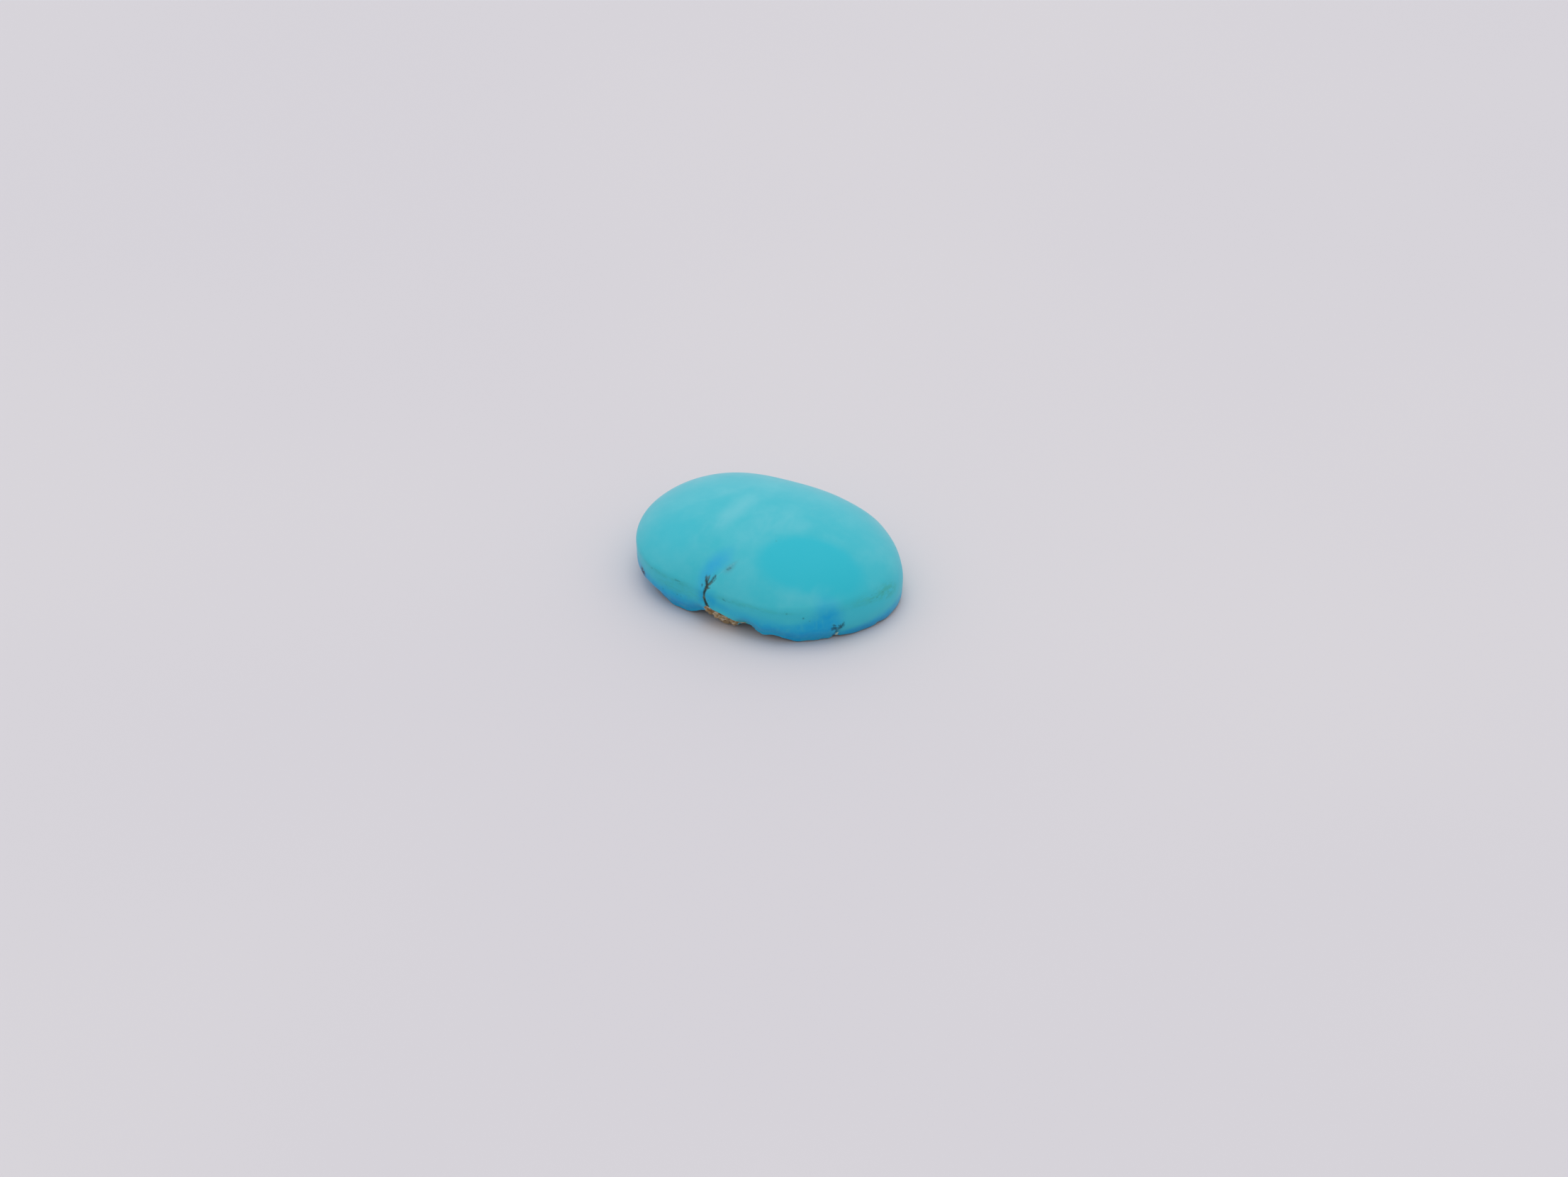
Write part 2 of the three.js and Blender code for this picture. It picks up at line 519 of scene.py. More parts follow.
@dataclass(frozen=True)
class Markings:
    """Where the stone is veined, stained, paler, bluer or broken, as named places; some patches
    also carry painted shade and painted reflection.
    """

    vein: tuple[Stroke, ...] = (
        Stroke(
            (
                (262.5, 1.45, 0.09),
                (261.3, 1.62, 0.1),
                (260.4, 1.79, 0.09),
                (259.9, 2.02, 0.08),
                (259.8, 2.25, 0.08),
                (260.0, 2.44, 0.085),
            )
        ),
        Stroke(
            ((-1.0, -5.8, 0.08), (-0.95, -5.7, 0.12), (-0.94, -5.6, 0.11), (-1.03, -5.53, 0.08)),
            True,
        ),
        Stroke(
            ((-1.03, -5.53, 0.08), (-1.1, -5.44, 0.07), (-1.1, -5.36, 0.06), (-0.95, -5.33, 0.04)),
            True,
        ),
        Stroke(
            (
                (-0.94, -5.66, 0.08),
                (-0.84, -5.56, 0.07),
                (-0.72, -5.4, 0.05),
                (-0.58, -5.26, 0.025),
            ),
            True,
        ),
        Stroke(((-0.82, -5.6, 0.05), (-0.68, -5.5, 0.035), (-0.52, -5.36, 0.02)), True),
        Stroke(((-1.03, -5.52, 0.07), (-0.98, -5.4, 0.05), (-0.96, -5.28, 0.03)), True),
        Stroke(((-1.1, -5.42, 0.04), (-1.17, -5.34, 0.03), (-1.16, -5.26, 0.02)), True),
        Stroke(((-0.74, -5.42, 0.04), (-0.7, -5.3, 0.03), (-0.6, -5.18, 0.02)), True),
        Stroke(((-0.9, -5.72, 0.05), (-0.74, -5.7, 0.03)), True),
    )
    tufts: tuple[Stroke, ...] = (
        Stroke(((331.5, 0.5, 0.04), (330.8, 0.84, 0.05), (329.9, 0.98, 0.1), (328.9, 1.04, 0.1))),
        Stroke(((330.0, 0.98, 0.08), (329.4, 1.16, 0.06), (329.0, 1.28, 0.03))),
        Stroke(((329.6, 0.96, 0.07), (328.4, 0.9, 0.05))),
        Stroke(((331.2, 0.8, 0.05), (332.2, 0.98, 0.11), (332.7, 1.1, 0.1))),
        Stroke(((332.2, 1.04, 0.08), (333.1, 1.2, 0.06), (333.4, 1.3, 0.03))),
        Stroke(((331.8, 1.0, 0.07), (331.6, 1.18, 0.04))),
    )
    grain: tuple[Stroke, ...] = (Stroke(((331.9, 0.56, 0.07), (332.1, 0.34, 0.1))),)
    matrix: tuple[Stroke, ...] = (
        Stroke(((261.4, 1.16, 0.22), (262.6, 1.2, 0.24), (264.6, 1.1, 0.27), (267.4, 0.88, 0.3))),
        Stroke(((267.4, 0.88, 0.3), (270.0, 0.7, 0.34))),
        Stroke(((261.6, 0.9, 0.2), (263.0, 0.72, 0.26), (265.4, 0.55, 0.28))),
        Stroke(((270.0, 0.7, 0.34), (273.2, 0.62, 0.36), (276.0, 0.6, 0.3))),
        Stroke(((264.5, 0.6, 0.3), (270.0, 0.35, 0.3), (275.0, 0.35, 0.25))),
        Stroke(((276.0, 0.6, 0.28), (279.5, 0.62, 0.18), (282.5, 0.74, 0.08), (285.5, 0.84, 0.03))),
        Stroke(((261.0, 0.8, 0.3), (263.5, 0.6, 0.36), (268.0, 0.35, 0.4), (276.0, 0.3, 0.4))),
    )
    # Cream: pale streaks and loops in the matrix; the first stroke, on the pocket's upper rim, is a
    # painted highlight.
    cream: tuple[Stroke, ...] = (
        Stroke(
            ((261.6, 1.34, 0.02), (262.4, 1.42, 0.03), (263.8, 1.36, 0.025), (264.8, 1.2, 0.02))
        ),
        Stroke(((261.4, 1.2, 0.02), (261.8, 0.98, 0.02), (262.8, 0.86, 0.02))),
        Stroke(((265.0, 0.92, 0.02), (266.4, 1.06, 0.025), (268.0, 1.02, 0.015))),
        Stroke(((266.6, 0.7, 0.02), (268.6, 0.84, 0.025), (271.2, 0.86, 0.02))),
        Stroke(((269.8, 0.5, 0.02), (271.6, 0.64, 0.02), (273.6, 0.66, 0.015))),
    )
    faint: tuple[Stroke, ...] = (
        Stroke(((-0.56, -5.26, 0.02), (-0.4, -5.1, 0.015), (-0.26, -4.92, 0.02)), True),
        Stroke(((-0.1, -4.74, 0.02), (0.14, -4.5, 0.03), (0.3, -4.36, 0.02)), True),
    )
    specks: tuple[Stroke, ...] = (
        Stroke(((233.5, 1.31, 0.03),)),
        Stroke(((242.2, 1.39, 0.025),)),
        Stroke(((244.5, 1.36, 0.02),)),
        Stroke(((240.8, 2.36, 0.015), (243.5, 2.38, 0.01))),
        Stroke(((226.0, 2.3, 0.03),)),
        Stroke(((315.2, 2.04, 0.045),)),
        Stroke(((307.5, 2.34, 0.03),)),
        Stroke(((318.0, 1.82, 0.02),)),
        Stroke(((272.0, 2.26, 0.025), (273.6, 2.2, 0.01))),
        Stroke(((262.8, 1.9, 0.02),)),
        Stroke(((-1.26, -5.62, 0.05), (-1.24, -5.68, 0.02)), True),
        Stroke(((1.88, -2.37, 0.015), (1.92, -2.3, 0.01)), True),
        Stroke(((72.0, 1.5, 0.03),)),
        Stroke(((96.0, 2.3, 0.03), (98.0, 2.34, 0.01))),
        Stroke(((121.0, 1.1, 0.05), (121.8, 0.9, 0.03))),
        Stroke(((158.0, 1.7, 0.03),)),
        Stroke(((-0.06, -4.79, 0.03), (0.02, -4.75, 0.06), (0.12, -4.7, 0.04)), True),
    )
    # Pale: partly paler stone, partly painted reflection: the long streaks on the dome stand in for
    # pale reflections in the polish.
    pale: tuple[Patch, ...] = (
        Patch(-1.6, -1.3, 2.0, 0.6, 68, 1.0, True, 0.95),
        Patch(-3.0, 0.3, 0.9, 0.35, 40, 0.5, True, 0.95),
        Patch(0.9, -1.3, 1.5, 0.9, 62, 0.9, True, 0.95),
        Patch(2.0, -0.9, 1.1, 0.5, 30, 0.6, True, 0.9),
        Patch(5.1, -4.1, 1.3, 0.4, 35, 0.45, True, 0.95),
        Patch(6.6, 0.6, 1.2, 0.5, 75, 0.4, True, 0.9),
    )
    # Deep: partly deeper stone colour, partly painted shade where the polished dome catches no
    # reflection.
    deep: tuple[Patch, ...] = (
        Patch(4.3, -2.65, 3.1, 1.75, 22, 1.0, True, 0.2),
        Patch(-4.3, -3.4, 1.6, 1.0, -35, 0.45, True, 0.9),
    )
    # Blue: real blue zones by the vein and on the band; the patches low round the band, reaching
    # the lip, also paint shade on the lower edge.
    blue: tuple[Patch, ...] = (
        Patch(-0.9, -4.65, 0.85, 0.42, 52, 0.6, True, 0.95),
        Patch(-0.5, -4.6, 0.5, 0.25, 20, 0.35, True, 0.95),
        Patch(-1.15, -5.3, 0.6, 0.35, 75, 0.45, True, 0.95),
        Patch(258.8, 1.9, 0.6, 0.32, 90, 0.75),
        Patch(264.5, 1.95, 0.5, 0.3, 90, 0.7),
        Patch(270.0, 1.7, 0.8, 0.25, -14, 0.45),
        Patch(326.5, 1.75, 0.85, 0.7, 90, 0.95, edge=0.9),
        Patch(321.5, 1.0, 1.1, 0.75, 0, 1.0, edge=0.7),
        Patch(314.0, 0.7, 1.9, 0.75, 6, 1.0, edge=0.7),
        Patch(302.0, 0.95, 1.6, 0.6, -12, 0.85, edge=0.9),
        Patch(288.0, 1.2, 1.2, 0.45, -18, 0.5, edge=0.9),
        Patch(246.0, 0.75, 1.6, 0.65, 2, 0.8),
        Patch(232.0, 0.6, 1.9, 0.85, 0, 1.0, edge=0.7),
        Patch(215.0, 0.6, 1.8, 0.8, 0, 1.0, edge=0.7),
        Patch(345.0, 0.3, 2.6, 0.3, 0, 0.8, edge=0.7),
        Patch(0.0, 0.45, 2.2, 0.4, 0, 0.7, edge=0.7),
        Patch(58.0, 0.5, 2.2, 0.5, 0, 0.5),
        Patch(104.0, 0.6, 2.6, 0.55, 3, 0.7),
        Patch(148.0, 0.4, 2.0, 0.6, 0, 0.5),
        Patch(184.0, 0.5, 2.2, 0.7, 0, 0.85),
    )
    violet: tuple[Patch, ...] = (
        Patch(212.0, 1.3, 1.2, 0.4, 0, 0.6, edge=0.9),
        Patch(355.0, 0.2, 3.0, 0.25, 0, 0.7),
    )
    # Green: partly wear along the crease, partly painted shade under the crease and in the pocket's
    # recess.
    green: tuple[Patch, ...] = (
        Patch(357.0, 2.1, 0.8, 0.34, -14, 1.0),
        Patch(349.0, 2.2, 1.1, 0.25, -8, 0.6, edge=0.9),
        Patch(338.0, 2.25, 1.2, 0.16, -4, 0.2),
        Patch(286.0, 2.36, 1.1, 0.16, 0, 0.4),
        Patch(301.0, 2.36, 1.2, 0.11, 0, 0.35),
        Patch(273.0, 2.3, 0.7, 0.12, 0, 0.3),
        Patch(240.0, 2.32, 1.3, 0.12, 0, 0.5),
        Patch(244.0, 1.8, 1.5, 0.36, 0, 0.45, edge=0.9),
        Patch(226.0, 2.3, 1.0, 0.12, 0, 0.3),
        Patch(284.0, 0.95, 0.4, 0.14, -20, 0.9, edge=0.6),
        Patch(66.0, 2.3, 1.6, 0.13, 0, 0.45),
        Patch(127.0, 2.3, 1.3, 0.12, 0, 0.4),
        Patch(168.0, 2.2, 1.0, 0.16, 4, 0.5),
    )
    stain: tuple[Patch, ...] = (
        Patch(217.5, 1.36, 0.3, 0.2, -20, 1.0, edge=0.6),
    )
    smoke: tuple[Patch, ...] = (
        Patch(0.06, -4.72, 0.26, 0.14, 40, 0.55, True, 0.95),
        Patch(0.2, -4.46, 0.26, 0.08, 50, 0.3, True, 0.95),
        Patch(331.6, 0.62, 0.2, 0.12, 90, 0.7, edge=0.7),
    )


@dataclass(frozen=True)
class Carving:
    """The lumps, depths and widths of the stone's fine relief, in millimetres."""

    polish: Lumps = Lumps(2, 2.6)
    polish_depth: float = 0.006
    grind: Lumps = Lumps(3, 0.5)
    grind_depth: float = 0.006
    vein_breaks: Lumps = Lumps(4, 0.12)
    vein_least: float = 0.6
    vein_change: float = 0.4
    vein_depth: float = 0.035
    vein_width: float = 0.045
    matrix: Lumps = Lumps(7, 0.16)
    matrix_height: float = 0.05
    matrix_border: tuple[float, float] = (-0.08, 0.02)
    crumbs: Lumps = Lumps(8, 0.07)
    crumb_height: float = 0.03
    cream_height: float = 0.03
    cream_width: float = 0.03
    grain_height: float = 0.09
    grain_width: float = 0.05
    under: Lumps = Lumps(9, 0.45)
    under_depth: float = 0.03
    under_fade: float = 0.3
    chip_count: int = 90
    chip_seed: int = 11
    chip_smallest: float = 0.06
    chip_largest: float = 0.2
    chip_depth_share: float = 0.2
    chip_stray: float = 0.2


@dataclass
class Cabochon:
    """The one piece: a stone turned as a round blank, drawn out and carved."""

    form: StoneForm = field(default_factory=StoneForm)
    markings: Markings = field(default_factory=Markings)
    carving: Carving = field(default_factory=Carving)
    columns: int = 600
    front_angle: float = 288.0
    front_gathering: float = 0.45
    blank_angle: float = 90.0
    # How much of the back's dark colour the lip takes: painted shade, a thin dark line along the
    # lower edge.
    lip_shade_share: float = 0.1
    weld_gap: float = 1e-4
    rings: tuple[tuple[Zone, int], ...] = (
        (Zone.DOME, 46),
        (Zone.CREASE, 7),
        (Zone.BAND, 54),
        (Zone.LIP, 5),
        (Zone.UNDERSIDE, 22),
        (Zone.BACK, 16),
    )

    def ring_list(self) -> list[tuple[Zone, float]]:
        """List the rings of the mesh from the crown to the middle of the back."""
        found = [(Zone.DOME, 0.0)]
        for zone, count in self.rings:
            for step in range(1, count + 1):
                share = step / count
                if zone is Zone.DOME:
                    share = math.sin(share * math.pi / 2)
                found.append((zone, share))
        return found

    def turn_blank(self) -> bpy.types.Object:
        """Turn a round blank: draw its half section and spin it about the upright axis.

        Returns:
            The closed blank, in metres.
        """
        section = self.section()
        bpy.ops.object.select_all(action="DESELECT")
        bpy.ops.mesh.primitive_plane_add(size=MM)
        blank = bpy.context.active_object
        blank.name = blank.data.name = "polished_turquoise"
        bpy.ops.object.mode_set(mode="EDIT")
        bpy.ops.mesh.merge(type="CENTER")
        bpy.ops.transform.translate(value=section[0] * MM)
        for before, after in zip(section, section[1:]):
            step = (after - before) * MM
            bpy.ops.mesh.extrude_vertices_move(TRANSFORM_OT_translate={"value": step})
        bpy.ops.object.mode_set(mode="OBJECT")
        lathe = blank.modifiers.new("lathe", "SCREW")
        lathe.angle = math.tau
        lathe.steps = lathe.render_steps = self.columns
        bpy.ops.object.modifier_apply(modifier=lathe.name)
        bpy.ops.object.mode_set(mode="EDIT")
        bpy.ops.mesh.select_all(action="SELECT")
        bpy.ops.mesh.remove_doubles(threshold=self.weld_gap * MM)
        bpy.ops.mesh.normals_make_consistent(inside=False)
        bpy.ops.mesh.select_all(action="DESELECT")
        bpy.ops.object.mode_set(mode="OBJECT")
        return blank

    def section(self) -> list[Vector]:
        """Give the blank's half section as points in millimetres, crown first."""
        turn = np.array([self.blank_angle])
        points = []
        for zone, share in self.ring_list():
            radius, height = self.form.place(zone, turn, np.array([share]))[:, 0]
            points.append(Vector((radius, 0.0, height)))
        return points

    def read_blank(self, blank: bpy.types.Object) -> tuple[np.ndarray, np.ndarray]:
        """Find which ring each vertex of the blank is on, and its angle.

        Args:
            blank: The turned blank.

        Returns:
            Ring numbers and angles in degrees, one for each vertex.
        """
        points = np.zeros(len(blank.data.vertices) * 3)
        blank.data.vertices.foreach_get("co", points)
        points = points.reshape(-1, 3) / MM
        radius = np.hypot(points[:, 0], points[:, 1])
        section = np.array([(point.x, point.z) for point in self.section()])
        gaps = np.hypot(radius[:, None] - section[:, 0], points[:, 2:] - section[:, 1])
        turn = np.arctan2(points[:, 1], points[:, 0])
        turn = turn - self.front_gathering * np.sin(turn - math.radians(self.front_angle))
        return gaps.argmin(axis=1), np.degrees(turn) % FULL_TURN

    def draw_out(self, ring: np.ndarray, angle: np.ndarray) -> np.ndarray:
        """Draw the round blank out into the stone's own shape.

        Args:
            ring: Ring number of each vertex.
            angle: Angle of each vertex.

        Returns:
            X, Y and Z in millimetres, before the stone is centred.
        """
        points = np.zeros((len(ring), 3))
        for number, (zone, share) in enumerate(self.ring_list()):
            on_ring = ring == number
            turn = angle[on_ring]
            radius, height = self.form.place(zone, turn, np.full(len(turn), share))
            points[on_ring, 0] = radius * np.cos(np.radians(turn))
            points[on_ring, 1] = radius * np.sin(np.radians(turn))
            points[on_ring, 2] = height
        return points

    def zone_shares(self, ring: np.ndarray) -> tuple[np.ndarray, np.ndarray]:
        """Give how far each vertex is past the crease, and past the lower edge.

        Args:
            ring: Ring number of each vertex.

        Returns:
            Band shares and underside shares, from 0 to 1.
        """
        rings = self.ring_list()
        order = list(Zone)
        band, under = np.zeros((2, len(rings)))
        for number, (zone, share) in enumerate(rings):
            past = order.index(zone)
            band[number] = share if zone is Zone.CREASE else float(past >= order.index(Zone.BAND))
            under[number] = float(zone is Zone.BACK)
            # The lip takes some of the back's dark colour, as painted shade along the lower edge.
            if zone is Zone.LIP:
                under[number] = self.lip_shade_share * share
            if zone is Zone.UNDERSIDE:
                under[number] = self.lip_shade_share + (1.0 - self.lip_shade_share) * share
        return band[ring], under[ring]

    def measure_marks(
        self, points: np.ndarray, angle: np.ndarray, band: np.ndarray, under: np.ndarray
    ) -> dict[Mark, np.ndarray]:
        """Measure every marking at every vertex.

        Args:
            points: X, Y and Z before the stone is centred.
            angle: Angle of each vertex.
            band: How far each vertex is past the crease.
            under: How far each vertex is past the lower edge.

        Returns:
            One value for each vertex, for each marking.
        """
        outside = 1.0 - under

        def nearest(strokes: tuple[Stroke, ...]) -> np.ndarray:
            """Measure the nearest of some strokes."""
            return np.min([stroke.distance(self.form, points) for stroke in strokes], axis=0)

        def strongest(patches: tuple[Patch, ...]) -> np.ndarray:
            """Lay some patches over each other, fading away under the stone."""
            total = np.zeros(len(points))
            for patch in patches:
                total = 1.0 - (1.0 - total) * (1.0 - patch.strength_at(points, angle) * outside)
            return total

        marks = self.markings
        lines = {
            Mark.MATRIX: marks.matrix,
            Mark.CREAM: marks.cream,
            Mark.GRAIN: marks.grain,
            Mark.VEIN: marks.vein,
            Mark.TUFT: marks.tufts,
            Mark.SPECK: marks.specks,
            Mark.FAINT: marks.faint,
        }
        areas = {
            Mark.PALE: marks.pale,
            Mark.DEEP: marks.deep,
            Mark.BLUE: marks.blue,
            Mark.VIOLET: marks.violet,
            Mark.GREEN: marks.green,
            Mark.STAIN: marks.stain,
            Mark.SMOKE: marks.smoke,
        }
        values = {Mark.BAND: band, Mark.UNDER: under}
        values |= {mark: nearest(strokes) for mark, strokes in lines.items()}
        values |= {mark: strongest(patches) for mark, patches in areas.items()}
        return values

    def edge_bites(self, points: np.ndarray) -> np.ndarray:
        """Give how deep the small chips along the lower edge bite.

        Args:
            points: X, Y and Z before the stone is centred.

        Returns:
            Millimetres inwards at each vertex.
        """
        cut = self.carving
        dice = np.random.default_rng(cut.chip_seed)
        depth = np.zeros(len(points))
        for _ in range(cut.chip_count):
            turn = dice.uniform(0.0, FULL_TURN)
            size = dice.uniform(0.0, 1.0) ** 2 * (cut.chip_largest - cut.chip_smallest)
            size += cut.chip_smallest
            edge = float(self.form.lower_edge(np.array([turn]))[0])
            stray = dice.uniform(-cut.chip_stray, cut.chip_stray)
            middle = self.form.on_band(turn, edge + size * stray)
            gap = np.linalg.norm(points - middle, axis=1) / size
            bite = cut.chip_depth_share * size * (1.0 - np.minimum(gap, 1.0) ** 2)
            depth = np.maximum(depth, bite)
        return depth

    def carve(self, points: np.ndarray, marks: dict[Mark, np.ndarray]) -> np.ndarray:
        """Work out the fine relief.

        Args:
            points: X, Y and Z before the stone is centred.
            marks: The markings, which the vein, the matrix and the grain follow.

        Returns:
            Millimetres outwards along the normal, for each vertex.
        """
        cut = self.carving

        def ridge(mark: Mark, width: float) -> np.ndarray:
            """Give 1 inside a marking, falling away over a width outside it."""
            return np.exp(-((np.maximum(marks[mark], 0.0) / width) ** 2))

        band, under = marks[Mark.BAND], marks[Mark.UNDER]
        dome = 1.0 - band
        side = band * (1.0 - under)
        broken = cut.vein_least + cut.vein_change * cut.vein_breaks.at(points)
        matrix = (1.0 - smooth_step(marks[Mark.MATRIX], *cut.matrix_border)) * band
        rough = cut.matrix_height * cut.matrix.at(points)
        rough += cut.crumb_height * cut.crumbs.at(points)
        lapped = cut.under_depth * (cut.under.at(points) - 1.0)
        relief = cut.polish_depth * cut.polish.at(points) * dome
        relief += cut.grind_depth * cut.grind.at(points) * side
        relief -= cut.vein_depth * ridge(Mark.VEIN, cut.vein_width) * broken
        relief += matrix * (rough + cut.cream_height * ridge(Mark.CREAM, cut.cream_width))
        relief += cut.grain_height * ridge(Mark.GRAIN, cut.grain_width)
        relief += lapped * under * smooth_step(points[:, 2], 0.0, cut.under_fade)
        relief -= self.edge_bites(points) * (1.0 - matrix)
        return relief

    @staticmethod
    def settle(points: np.ndarray) -> np.ndarray:
        """Centre the stone in its CAD box, in metres, and bring it to the box's sizes."""
        low, high = (np.array(corner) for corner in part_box(STONE_NODE))
        own_low, own_high = points.min(axis=0), points.max(axis=0)
        return low + (points - own_low) / (own_high - own_low) * (high - low)

    @staticmethod
    def write(stone: bpy.types.Object, points: np.ndarray) -> None:
        """Move the stone's vertices to places in metres."""
        stone.data.vertices.foreach_set("co", points.astype(np.float32).ravel())
        stone.data.update()

    def build(self) -> bpy.types.Object:
        """Make the stone.

        Returns:
            The finished piece, undressed.
        """
        stone = self.turn_blank()
        ring, angle = self.read_blank(stone)
        points = self.draw_out(ring, angle)
        self.write(stone, points * MM)
        normals = np.zeros(len(points) * 3, np.float32)
        stone.data.vertex_normals.foreach_get("vector", normals)
        marks = self.measure_marks(points, angle, *self.zone_shares(ring))
        relief = self.carve(points, marks)
        points = points + normals.reshape(-1, 3) * relief[:, None]
        self.write(stone, self.settle(points))
        for mark, values in marks.items():
            layer = stone.data.attributes.new(mark.value, "FLOAT", "POINT")
            layer.data.foreach_set("value", np.asarray(values, np.float32))
        stone.data.polygons.foreach_set("use_smooth", [True] * len(stone.data.polygons))
        return stone


def linear(red: int, green: int, blue: int) -> Colour:
    """Turn a screen colour, 0 to 255, into the linear one that shaders use.

    Args:
        red: Red on the screen.
        green: Green on the screen.
        blue: Blue on the screen.

    Returns:
        Red, green, blue and 1, from 0 to 1.
    """
    shares = (value / 255.0 for value in (red, green, blue))
    values = [s / 12.92 if s <= 0.04045 else ((s + 0.055) / 1.055) ** 2.4 for s in shares]
    return (*values, 1.0)


@dataclass(frozen=True)
class Pattern:
    """A cloudy pattern: millimetres from cloud to cloud, and where it starts and is full."""

    spacing: float
    start: float
    full: float
    detail: float = 3.0
    stretch: Triple | None = None
    rough: float = 0.5
    least: float = 0.0


@dataclass(frozen=True)
class Border:
    """A marking's ragged border: how far it wanders, from bay to bay, and its fade."""

    ragged: float
    spacing: float
    soft: float
    detail: float = 3.0
    rough: float = 0.65


@dataclass(frozen=True)
class Layer:
    """A colour laid over those below it, as far as its marks and its pattern let it show."""

    colour: Colour
    share: float = 1.0
    marks: tuple[Mark, ...] = ()
    pattern: Pattern | None = None
    border: Border | None = None


@dataclass(frozen=True)
class FineRelief:
    """A relief finer than the mesh: its spacing, its detail and its depth."""

    spacing: float
    detail: float
    depth: float
    stretch: Triple | None = None


class Mixing(Enum):
    """What a node mixes, by Blender's name, with its lower input's and its result's number."""

    RGBA = (6, 2)
    FLOAT = (2, 0)


class NodeBoard:
    """The nodes of a finish or of the surround, laid down as layers of colour and relief."""

    noise_middle: float = 0.5

    def __init__(self, owner: bpy.types.Material | bpy.types.World) -> None:
        """Start with only the node that gives places and directions.

        Args:
            owner: The material or the surround that the nodes are for.
        """
        self.owner = owner
        self.owner.use_nodes = True
        self.tree = self.owner.node_tree
        self.tree.nodes.clear()
        self.where = self.node("ShaderNodeTexCoord").outputs

    def node(self, kind: str, **settings: object) -> bpy.types.Node:
        """Add a node and give it its settings."""
        made = self.tree.nodes.new(kind)
        for name, value in settings.items():
            setattr(made, name, value)
        return made

    def feed(self, socket: Socket, value: Feed) -> None:
        """Link a socket to another, or give it a value."""
        if isinstance(value, Socket):
            self.tree.links.new(value, socket)
        else:
            socket.default_value = value

    def read(self, mark: Mark) -> Socket:
        """Read one marking from the mesh."""
        return self.node("ShaderNodeAttribute", attribute_name=mark.value).outputs["Fac"]

    def reckon(self, operation: str, *values: Feed) -> Socket:
        """Work out one value from two or more, taken in their order.

        Args:
            operation: Blender's name of the operation.
            values: The values or sockets.

        Returns:
            The result's socket.
        """
        result = values[0]
        for value in values[1:]:
            made = self.node("ShaderNodeMath", operation=operation)
            self.feed(made.inputs[0], result)
            self.feed(made.inputs[1], value)
            result = made.outputs[0]
        return result

    def times(self, *values: Feed) -> Socket:
        """Multiply two or more values."""
        return self.reckon("MULTIPLY", *values)

    def eased(self, value: Feed, start: float, end: float, least: float = 0.0) -> Socket:
        """Ease a value from its least at start to 1 at end, either way round.

        Args:
            value: The value or socket.
            start: Where the result is least.
            end: Where it is 1.
            least: The least result.

        Returns:
            The result's socket.
        """
        made = self.node("ShaderNodeMapRange", interpolation_type="SMOOTHSTEP")
        self.feed(made.inputs["Value"], value)
        rising = start < end
        made.inputs["From Min"].default_value = min(start, end)
        made.inputs["From Max"].default_value = max(start, end)
        made.inputs["To Min"].default_value = least if rising else 1.0
        made.inputs["To Max"].default_value = 1.0 if rising else least
        return made.outputs["Result"]

    def noise(
        self,
        spacing: float,
        detail: float,
        stretch: Triple | None = None,
        rough: float = 0.5,
    ) -> Socket:
        """Add plain clouds.

        Args:
            spacing: Millimetres from cloud to cloud.
            detail: How many finer clouds lie on each.
            stretch: How far the clouds are drawn out along X, Y and Z.
            rough: How strong the finer clouds are.

        Returns:
            A value about 0.5, mostly from 0.3 to 0.7.
        """
        place = self.where["Object"]
        if stretch:
            drawn = self.node("ShaderNodeMapping", vector_type="TEXTURE")
            self.feed(drawn.inputs["Vector"], place)
            drawn.inputs["Scale"].default_value = stretch
            place = drawn.outputs[0]
        made = self.node("ShaderNodeTexNoise")
        self.feed(made.inputs["Vector"], place)
        made.inputs["Scale"].default_value = 1.0 / (spacing * MM)
        made.inputs["Detail"].default_value = detail
        made.inputs["Roughness"].default_value = rough
        return made.outputs["Fac"]

    def cloud(self, pattern: Pattern) -> Socket:
        """Add a cloudy pattern, eased from its least to 1."""
        noise = self.noise(pattern.spacing, pattern.detail, pattern.stretch, pattern.rough)
        return self.eased(noise, pattern.start, pattern.full, pattern.least)

    def inside(self, mark: Mark, border: Border) -> Socket:
        """Turn a distance from a marking's border into a ragged mask.

        Args:
            mark: The marking, in millimetres from its border.
            border: How ragged and how soft the border is.

        Returns:
            A share that is 1 inside the marking.
        """
        bays = self.noise(border.spacing, border.detail, rough=border.rough)
        wander = self.times(self.reckon("SUBTRACT", bays, self.noise_middle), 2.0 * border.ragged)
        distance = self.reckon("ADD", self.read(mark), wander)
        return self.eased(distance, border.soft / 2, -border.soft / 2)

    def mixed(self, mixing: Mixing, share: Feed, under: Feed, over: Feed) -> Socket:
        """Go from one colour or value to another.

        Args:
            mixing: What is mixed.
            share: How much of the upper one shows.
            under: The lower colour or value.
            over: The upper colour or value.

        Returns:
            The result's socket.
        """
        lower, result = mixing.value
        made = self.node("ShaderNodeMix", data_type=mixing.name)
        self.feed(made.inputs[0], share)
        self.feed(made.inputs[lower], under)
        self.feed(made.inputs[lower + 1], over)
        return made.outputs[result]

    def tint(self, share: Feed, under: Feed, over: Feed) -> Socket:
        """Lay one colour over another."""
        return self.mixed(Mixing.RGBA, share, under, over)

    def blend(self, share: Feed, under: Feed, over: Feed) -> Socket:
        """Go from one value to another."""
        return self.mixed(Mixing.FLOAT, share, under, over)

